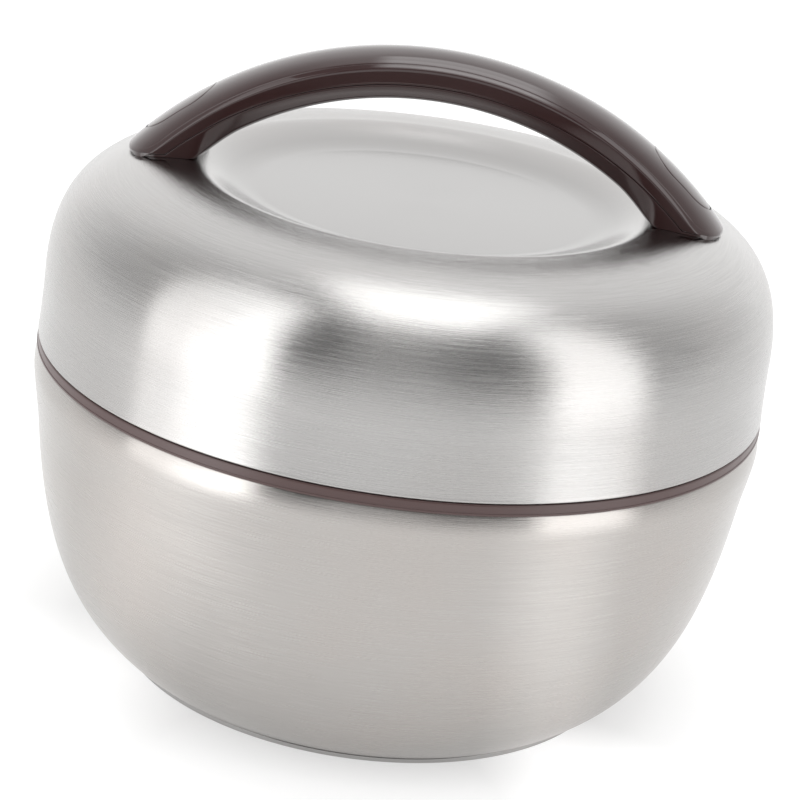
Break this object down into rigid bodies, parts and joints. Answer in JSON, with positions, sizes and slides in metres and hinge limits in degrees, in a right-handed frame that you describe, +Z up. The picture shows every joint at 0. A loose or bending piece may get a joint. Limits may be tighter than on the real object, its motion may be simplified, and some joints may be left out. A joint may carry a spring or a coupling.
{
  "type": "insulated food bowl with lid",
  "caption": "Round insulated steel food bowl with a dished brushed lid, a bayonet joint under a brown plastic band and an arched brown carrying handle.",
  "frame": {"origin": "centre of the base's underside, on the bowl's axis", "axes": "+Z up along the bowl's axis, +X along the handle's span, +Y across the handle"},
  "size_m": [0.1746, 0.1746, 0.1528],
  "materials": {
    "brushed_steel": "satin, fine brush lines around the axis",
    "liner_steel": "soft satin, spun",
    "brown_gloss": "glossy moulded, dark brown",
    "brown_plastic": "semi-gloss moulded, dark brown",
    "silicone": "matt, translucent grey silicone",
    "foam": "rigid cast foam",
    "plated_steel": "bright plated"
  },
  "bodies": {
    "bowl": {"bowl_outer_shell": "brushed_steel", "bowl_base_plate": "brushed_steel", "bowl_insulation": "foam", "bowl_liner_wall": "liner_steel", "bowl_liner_bottom": "liner_steel", "bowl_rim_collar": "brown_plastic"},
    "seal": {"lid_seal": "silicone"},
    "lid": {"lid_outer_shell": "brushed_steel", "lid_inner_cap": "brown_plastic", "lid_insulation": "foam", "handle_upper": "brown_gloss", "handle_lower": "brown_gloss", "handle_cover_left": "brown_gloss", "handle_cover_right": "brown_gloss", "handle_screws": "plated_steel", "handle_backing_plates": "plated_steel"}
  },
  "joints": [
    {"name": "lid_lift", "type": "slide", "parent": "bowl", "child": "seal", "axis": [0, 0, 1], "range_m": [0, 0.12]},
    {"name": "lid_twist", "type": "hinge", "parent": "seal", "child": "lid", "pos_m": [0, 0, 0.086], "axis": [0, 0, 1], "range_deg": [-64, 0]}
  ]
}
